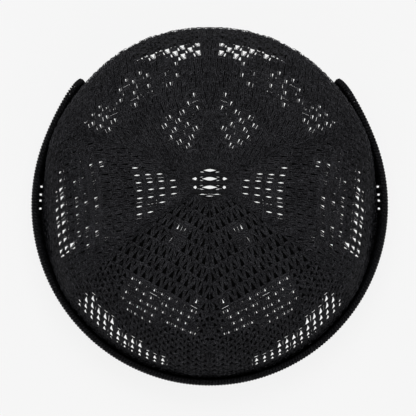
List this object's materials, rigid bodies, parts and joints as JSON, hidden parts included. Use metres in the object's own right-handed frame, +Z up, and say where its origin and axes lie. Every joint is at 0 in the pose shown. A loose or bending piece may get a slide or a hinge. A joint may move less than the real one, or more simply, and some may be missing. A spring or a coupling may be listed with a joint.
{
  "type": "brimless knitted cap",
  "caption": "Brimless open-work knitted cap: a domed crown of gores with a turned-up cuff round the front and sides, open at the back.",
  "frame": {"origin": "under the middle of the cap's bounding box, on the surface that the hem rests on", "axes": "+Z up through the top of the crown, -Y towards the front, +Y towards the back where the cuff is open, X across the head"},
  "size_m": [0.2, 0.2012, 0.092],
  "materials": {
    "open_work_knit": "matt black cotton yarn in an open-work knit",
    "cuff_knit": "matt black cotton yarn in a dense knit"
  },
  "bodies": {
    "root": {"crown": "open_work_knit", "cuff": "cuff_knit"}
  },
  "joints": []
}
